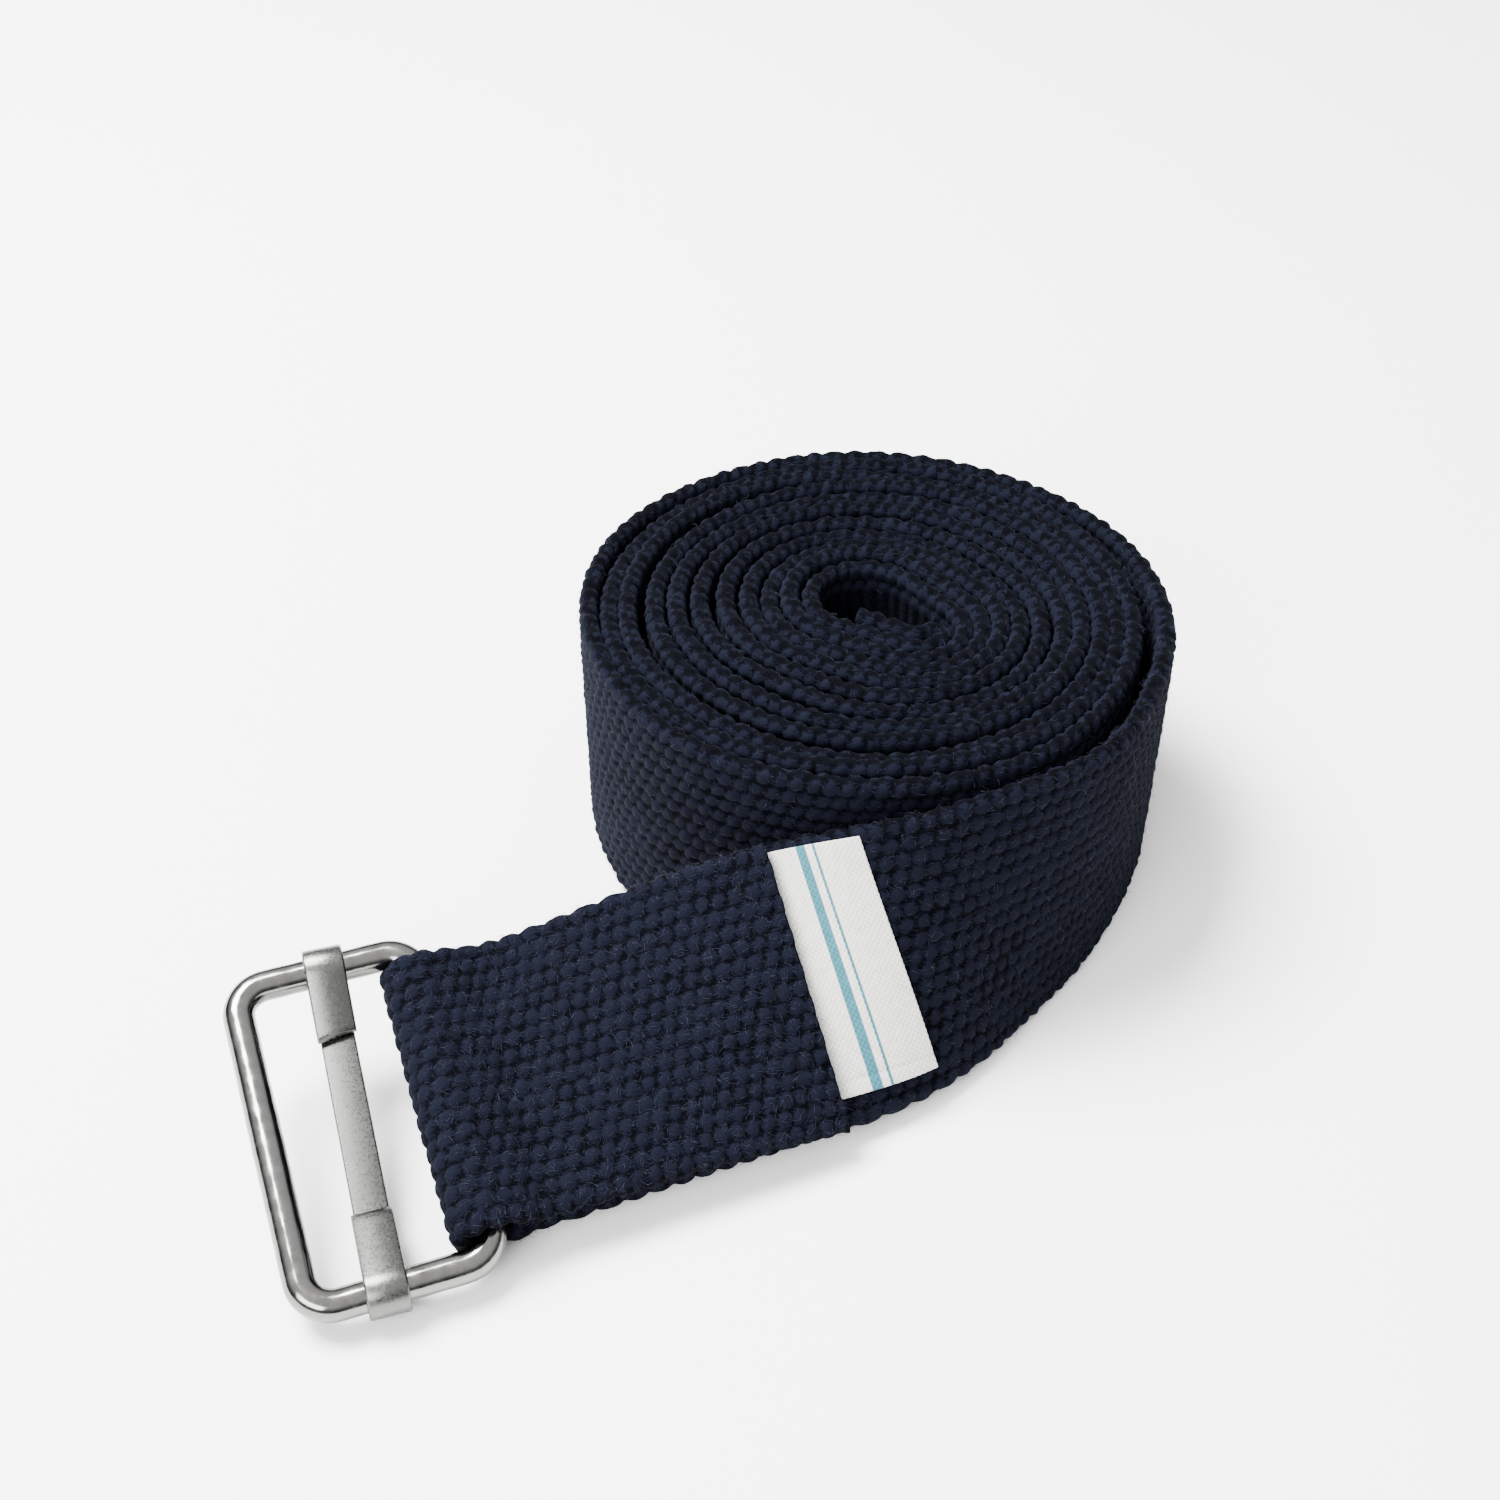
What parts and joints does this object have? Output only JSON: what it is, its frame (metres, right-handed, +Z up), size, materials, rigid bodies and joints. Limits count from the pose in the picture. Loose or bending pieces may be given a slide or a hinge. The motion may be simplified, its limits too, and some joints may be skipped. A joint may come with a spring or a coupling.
{
  "type": "stretching strap",
  "caption": "Cotton yoga and stretching strap, rolled on its edge, with its buckle end free: sliding-bar wire buckle in a sewn loop and a small sewn label.",
  "frame": {"origin": "centre of the footprint on the surface that the rolled strap stands on", "axes": "+Z up; +X from the buckle towards the roll; the buckle's bars lie across, in the Y-Z plane, far edge up"},
  "size_m": [0.1418, 0.1104, 0.0383],
  "materials": {
    "webbing": "thick plain-woven navy cotton webbing, matt, with short surface fibres",
    "buckle_wire": "bright nickel-plated steel wire with fine pits and scratches",
    "slide_strip": "plated steel strip, bead-blasted grey middle, bright rolled ends",
    "label_tape": "off-white plain-woven cotton tape",
    "sewing_thread": "navy spun sewing thread"
  },
  "bodies": {
    "strap": {"end_seam_bobbin_thread": "sewing_thread", "end_seam_needle_thread": "sewing_thread", "hem_seam_bobbin_thread": "sewing_thread", "hem_seam_needle_thread": "sewing_thread", "label_sewn_edge": "label_tape", "loop_seam_bobbin_thread": "sewing_thread", "loop_seam_needle_thread": "sewing_thread", "webbing_free_end_hem": "webbing", "webbing_inner_turns": "webbing", "webbing_lead": "webbing", "webbing_loop": "webbing", "webbing_lower_ply": "webbing", "webbing_outer_turn": "webbing", "webbing_upper_ply": "webbing"},
    "buckle": {"buckle_frame": "buckle_wire"},
    "slider": {"slide_bar": "slide_strip"},
    "label_flap": {"label": "label_tape"}
  },
  "joints": [
    {"name": "buckle_swing", "type": "hinge", "parent": "strap", "child": "buckle", "pos_m": [-0.04587, -0.0308, 0.01067], "axis": [0, 0.9521, 0.3057], "range_deg": [-110, 110]},
    {"name": "slide_bar_travel", "type": "slide", "parent": "buckle", "child": "slider", "axis": [1, 0, 0], "range_m": [-0.0039, 0.0035]},
    {"name": "label_lift", "type": "hinge", "parent": "strap", "child": "label_flap", "pos_m": [0.0013, -0.03242, 0.01638], "axis": [0.0391, -0.7212, -0.6916], "range_deg": [0, 45]}
  ]
}
